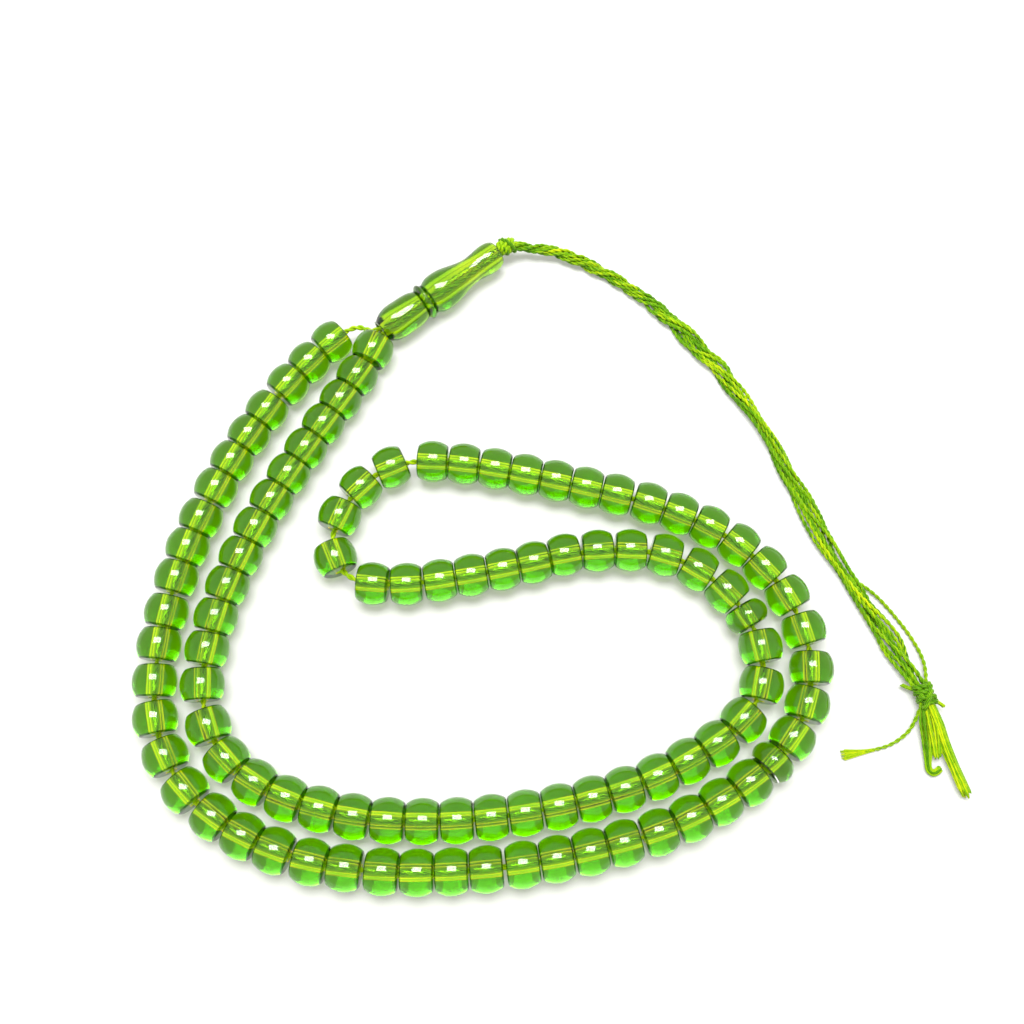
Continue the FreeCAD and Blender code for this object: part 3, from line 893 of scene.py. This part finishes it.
def makeBeads():
    bead = makeBall("bead_pattern", beadSizes["bead"], materials["beadGlass"])
    marker = makeBall("marker_pattern", beadSizes["marker"], materials["markerGlass"])
    chance = random.Random(21)
    for node in sorted(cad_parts):
        kind = node.split("_")[0]
        if kind not in ("bead", "beads", "marker"):
            continue
        numbers = [int(word) for word in node.split("_") if word.isdigit()]
        pattern = marker if kind == "marker" else bead
        seats = seatsIn(node, numbers[-1] - numbers[0] + 1)
        copies = [copyTo(pattern, "copy", centre, axis, chance.random()) for centre, axis in seats]
        piece = joinAll(copies, "glass_" + node)
        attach(piece, node)
        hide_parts(node)
    for pattern in (bead, marker):
        bpy.data.objects.remove(pattern)


makeBeads()
print("beads strung")


# Leader pieces, each turned from an outline of (distance, radius, slope) places.
leaderSizes = {
    "leader_barrel": {"outline": ((0, 0.0020, 1.0), (0.005626, 0.00355, 0), (0.0097, 0.0029, -0.5)),
                      "rim": 0.0003},
    "leader_disc": {"outline": ((0, 0.0029, 1.6), (0.0008, 0.0037, 0), (0.0016, 0.0029, -1.6)),
                    "rim": 0.0001},
    "leader_vase": {"outline": ((0, 0.0029, 0.9), (0.00342, 0.0039, 0), (0.010602, 0.0026, 0),
                                (0.014706, 0.0030, 0), (0.0171, 0.0023, -0.8)), "rim": 0.0003},
}
leaderBore = 0.00244
leaderFacets = 64


def outlineStations(outline, steps=7):
    # A smooth curve through the places, each left and reached at its slope.
    stations = []
    for (x0, r0, s0), (x1, r1, s1) in zip(outline, outline[1:]):
        for i in range(steps):
            t = i / steps
            run = x1 - x0
            radius = ((2 * t ** 3 - 3 * t ** 2 + 1) * r0 + (t ** 3 - 2 * t ** 2 + t) * run * s0
                      + (3 * t ** 2 - 2 * t ** 3) * r1 + (t ** 3 - t ** 2) * run * s1)
            stations.append((x0 + run * t, radius))
    stations.append((outline[-1][0], outline[-1][1]))
    return stations


def turnPiece(name, size, material):
    deselectAll()
    stations = outlineStations(size["outline"])
    half = stations[-1][0] / 2
    bpy.ops.mesh.primitive_circle_add(vertices=leaderFacets, radius=stations[0][1], fill_type="NGON")
    piece = bpy.context.active_object
    piece.name = name
    bpy.ops.object.mode_set(mode="EDIT")
    bpy.ops.transform.rotate(value=math.pi / 2, orient_axis="Y", center_override=(0, 0, 0))
    bpy.ops.transform.translate(value=(-half, 0, 0))
    bpy.ops.mesh.select_mode(type="FACE")
    selectInMesh(piece, "faces", lambda f: True)
    for (x, r), (nextX, nextR) in zip(stations, stations[1:]):
        if x == stations[0][0]:
            bpy.ops.mesh.duplicate()  # the first face stays behind as the end of the piece
        bpy.ops.mesh.extrude_region_move(TRANSFORM_OT_translate={"value": (nextX - x, 0, 0)})
        scale = nextR / r
        bpy.ops.transform.resize(value=(1, scale, scale), center_override=(nextX - half, 0, 0))
    bpy.ops.mesh.select_all(action="SELECT")
    bpy.ops.mesh.remove_doubles(threshold=1e-7)
    ends = [(-half, stations[0][1]), (half, stations[-1][1])]
    roundRims(piece, ends, size["rim"])
    boreThrough(piece, [(x, face - size["rim"]) for x, face in ends], leaderBore)
    finishTurned(piece, ends, size["rim"], leaderBore, material)
    return piece


def makeLeader():
    knot = middleOf("leader_knot")
    for i, (node, size) in enumerate(leaderSizes.items()):
        centre, axis = seatOf(trianglesOf(node))
        if axis.dot(knot - centre) < 0:
            axis = -axis
        pattern = turnPiece("leader_pattern", size, materials["leaderGlass"])
        piece = copyTo(pattern, "glass_" + node, centre, axis, 0.35 + 0.1 * i)
        bpy.data.objects.remove(pattern)
        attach(piece, node)
        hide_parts(node)


makeLeader()
print("leader turned")


# Table, lamp and room.
stageLook = {
    "tableSize": 6,
    "tableColour": (0.5, 0.5, 0.5),
    "tableRoughness": 0.85,
    "tableSpecular": 0.15,
    "tableGlow": 0.20,
    "roomColour": (0.98, 1.0, 0.84),
    "roomStrength": 0.85,
    "lampTiltDegrees": 12.5,
    "lampDistance": 0.6,
    "lampSize": (0.40, 0.244),
    "lampPower": 5.5,
}


def makeStage():
    deselectAll()
    bpy.ops.mesh.primitive_plane_add(size=stageLook["tableSize"])
    table = bpy.context.active_object
    table.name = "table_top"
    material, tree = newMaterial("tableTop")
    surface = tree.nodes["Principled BSDF"]
    surface.inputs["Base Color"].default_value = (*stageLook["tableColour"], 1)
    surface.inputs["Roughness"].default_value = stageLook["tableRoughness"]
    surface.inputs["Specular IOR Level"].default_value = stageLook["tableSpecular"]
    surface.inputs["Emission Color"].default_value = (1, 1, 1, 1)
    surface.inputs["Emission Strength"].default_value = stageLook["tableGlow"]
    table.data.materials.append(material)
    world = bpy.data.worlds.new("room")
    bpy.context.scene.world = world
    world.use_nodes = True
    room = world.node_tree.nodes["Background"]
    room.inputs["Color"].default_value = (*stageLook["roomColour"], 1)
    room.inputs["Strength"].default_value = stageLook["roomStrength"]
    light = bpy.data.lights.new("softbox", "AREA")
    light.shape = "RECTANGLE"
    light.size, light.size_y = stageLook["lampSize"]
    light.energy = stageLook["lampPower"]
    lamp = bpy.data.objects.new("softbox", light)
    tilt = math.radians(stageLook["lampTiltDegrees"])
    lamp.location = Vector((0, math.sin(tilt), math.cos(tilt))) * stageLook["lampDistance"]
    lamp.rotation_euler = (-tilt, 0, 0)
    bpy.context.scene.collection.objects.link(lamp)


makeStage()
print("table and light set")
